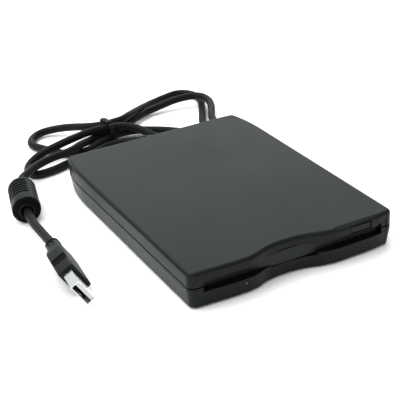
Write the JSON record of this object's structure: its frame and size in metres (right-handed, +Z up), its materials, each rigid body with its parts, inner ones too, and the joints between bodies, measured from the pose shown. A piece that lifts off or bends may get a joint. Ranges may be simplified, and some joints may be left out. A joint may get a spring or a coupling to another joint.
{
  "type": "external floppy disk drive",
  "caption": "Slim portable 3.5 inch floppy disk drive in a black plastic case with a waved front edge, and a cord tied in a hank with a filter bead and a rectangular plug.",
  "frame": {"origin": "middle of the drive's footprint on the surface it rests on", "axes": "+X to the right seen from the front, +Y to the rear where the cord leaves, +Z up; the disk slot faces -Y"},
  "size_m": [0.1615, 0.2271, 0.018],
  "materials": {
    "case_black": "satin, fine texture",
    "door_black": "satin",
    "button_black": "satin",
    "steel": "plain sheet and turned steel",
    "grey_plastic": "plain",
    "board_green": "solder resist",
    "chip_black": "plain",
    "copper_coils": "lacquered winding",
    "rubber_black": "soft",
    "lens_clear": "frosted clear",
    "cord_black": "satin jacket",
    "ribbon_white": "plain",
    "bead_black": "satin",
    "ferrite_grey": "sintered",
    "tie_black": "plain",
    "grip_black": "satin",
    "plug_metal": "plated",
    "tongue_white": "plain",
    "contact_gold": "plated"
  },
  "bodies": {
    "base": {"lower_shell": "case_black", "upper_shell": "case_black", "chassis_frame": "steel", "motor_board": "board_green", "motor_board_chips": "chip_black", "usb_board": "board_green", "usb_board_chips": "chip_black", "board_standoffs": "grey_plastic", "spindle_stator": "copper_coils", "eject_springs": "steel", "stepper_motor": "steel", "sensing_switches": "chip_black", "top_shield": "steel", "case_screws": "steel", "chassis_screws": "steel", "rubber_feet": "rubber_black", "guide_rods": "steel", "led_lens": "lens_clear", "activity_led": "lens_clear", "cord_wires": "cord_black", "ribbon_cable": "ribbon_white", "strain_relief": "cord_black", "usb_cord": "cord_black", "ferrite_cover": "bead_black", "ferrite_core": "ferrite_grey", "cable_tie": "tie_black", "plug_grip": "grip_black", "plug_shell": "plug_metal", "plug_tongue": "tongue_white", "plug_contacts": "contact_gold"},
    "door": {"slot_door": "door_black"},
    "eject": {"eject_button": "button_black", "eject_slider": "steel"},
    "holder": {"disk_holder": "steel"},
    "lever": {"shutter_lever": "grey_plastic"},
    "spindle": {"spindle_rotor": "steel", "spindle_hub": "steel", "drive_pin": "steel"},
    "carriage": {"head_carriage": "grey_plastic", "lower_head": "chip_black"},
    "upper_arm": {"upper_head_arm": "grey_plastic", "upper_head": "chip_black"},
    "screw": {"lead_screw": "steel"}
  },
  "joints": [
    {"name": "door_hinge", "type": "hinge", "parent": "base", "child": "door", "pos_m": [0, -0.067, 0.013], "axis": [1, 0, 0], "range_deg": [0, 88], "stiffness_Nm_per_rad": 0.0006, "springref_deg": -9.74},
    {"name": "eject_slide", "type": "slide", "parent": "base", "child": "eject", "axis": [0, 1, 0], "range_m": [-0.005, 0]},
    {"name": "holder_drop", "type": "slide", "parent": "base", "child": "holder", "axis": [0, 0, 1], "range_m": [-0.002, 0]},
    {"name": "lever_swing", "type": "hinge", "parent": "holder", "child": "lever", "pos_m": [-0.038, 0.022, 0.0128], "axis": [0, 0, 1], "range_deg": [0, 65]},
    {"name": "spindle_spin", "type": "hinge", "parent": "base", "child": "spindle", "pos_m": [0, -0.01825, 0.005], "axis": [0, 0, 1], "continuous": true},
    {"name": "carriage_slide", "type": "slide", "parent": "base", "child": "carriage", "axis": [0, 1, 0], "range_m": [-0.01481, 0]},
    {"name": "arm_hinge", "type": "hinge", "parent": "carriage", "child": "upper_arm", "pos_m": [0, 0.0485, 0.0136], "axis": [1, 0, 0], "range_deg": [0, 8.5]},
    {"name": "screw_turn", "type": "hinge", "parent": "base", "child": "screw", "pos_m": [0.021, 0.04, 0.0093], "axis": [0, 1, 0], "range_deg": [0, 1422]}
  ],
  "couplings": [
    {"joint": "holder_drop", "follows": "eject_slide", "ratio": 0.4},
    {"joint": "arm_hinge", "follows": "eject_slide", "rad_per_m": -29.67},
    {"joint": "screw_turn", "follows": "carriage_slide", "rad_per_m": -1675.5}
  ]
}
